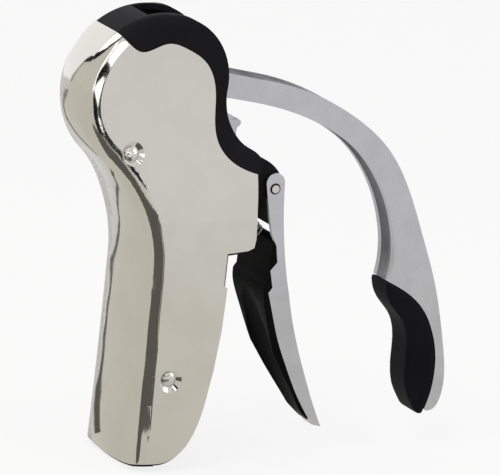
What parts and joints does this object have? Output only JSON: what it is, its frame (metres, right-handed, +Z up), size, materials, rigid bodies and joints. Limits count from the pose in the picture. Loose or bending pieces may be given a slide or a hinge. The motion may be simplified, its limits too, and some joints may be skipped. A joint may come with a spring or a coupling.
{
  "type": "lever corkscrew",
  "caption": "Hand-held lever corkscrew: folded steel casing with a black cap, a curved lever that drives a worm through a bottle socket, and a neck clamp trigger.",
  "frame": {"origin": "on the worm axis, at the lip of the bottle socket", "axes": "+Z up along the worm axis, from the socket to the dome; -X towards the folded spine, +X towards the levers; -Y and +Y are the side plates"},
  "size_m": [0.1743, 0.0472, 0.1806],
  "materials": {
    "stainless": "polished, warm grey, soft mirror",
    "black_plastic": "fine satin moulding",
    "jaw_plastic": "semi-gloss moulding",
    "black_rubber": "matte",
    "grip_rubber": "soft matte",
    "satin_zinc": "satin plated casting",
    "trigger_zinc": "bright satin",
    "carrier_zinc": "plain die casting",
    "bright_steel": "turned",
    "dark_steel": "oiled, blackened",
    "worm_steel": "coated wire",
    "spring_steel": "drawn wire",
    "bronze": "sintered",
    "white_plastic": "acetal"
  },
  "bodies": {
    "casing": {"outer_shell": "stainless", "top_cap": "black_plastic", "frame_right": "black_plastic", "frame_left": "black_plastic", "frame_posts": "bright_steel", "frame_screws": "dark_steel", "hinge_screws": "dark_steel", "hinge_block": "black_plastic", "lever_stop": "satin_zinc", "socket_liner": "black_plastic", "socket_saddle": "black_rubber", "lip_ring": "bright_steel", "shell_rivets": "bright_steel", "lever_pin": "bright_steel", "lever_spacers": "white_plastic", "gear_axle": "bright_steel", "worm_nut": "white_plastic", "latch_pin": "bright_steel", "latch_spring": "spring_steel", "trigger_pin": "bright_steel", "trigger_spring": "spring_steel"},
    "lever": {"lever": "satin_zinc", "lever_grip": "grip_rubber"},
    "gear": {"compound_gear": "dark_steel"},
    "carriage": {"carrier": "carrier_zinc", "worm_bush": "bronze"},
    "worm": {"worm": "worm_steel", "worm_collar": "bright_steel", "worm_washer": "bright_steel"},
    "clamp": {"clamp_trigger": "trigger_zinc", "jaw_insert": "jaw_plastic"},
    "latch": {"nut_latch": "bright_steel"}
  },
  "joints": [
    {"name": "lever_raise", "type": "hinge", "parent": "casing", "child": "lever", "pos_m": [-0.016, 0, 0.153], "axis": [0, -1, 0], "range_deg": [0, 90]},
    {"name": "gear_turn", "type": "hinge", "parent": "casing", "child": "gear", "pos_m": [-0.02, 0, 0.12448], "axis": [0, -1, 0], "range_deg": [-270, 0]},
    {"name": "carriage_drive", "type": "slide", "parent": "casing", "child": "carriage", "axis": [0, 0, -1], "range_m": [0, 0.0472]},
    {"name": "worm_turn", "type": "hinge", "parent": "carriage", "child": "worm", "pos_m": [0, 0, 0.13], "axis": [0, 0, -1], "range_deg": [0, 1697]},
    {"name": "clamp_squeeze", "type": "hinge", "parent": "casing", "child": "clamp", "pos_m": [0.0358, 0, 0.1085], "axis": [0, 1, 0], "range_deg": [0, 28], "stiffness_Nm_per_rad": 0.12, "springref_deg": -28.65, "deforming": ["trigger_spring"]},
    {"name": "latch_release", "type": "hinge", "parent": "casing", "child": "latch", "pos_m": [-0.015, 0, 0.0722], "axis": [0, -1, 0], "range_deg": [0, 14], "stiffness_Nm_per_rad": 0.004, "springref_deg": -22.92, "deforming": ["latch_spring"]}
  ],
  "couplings": [
    {"joint": "gear_turn", "follows": "lever_raise", "ratio": -3},
    {"joint": "carriage_drive", "follows": "lever_raise", "m_per_rad": 0.03},
    {"joint": "worm_turn", "follows": "lever_raise", "ratio": 18.85}
  ]
}
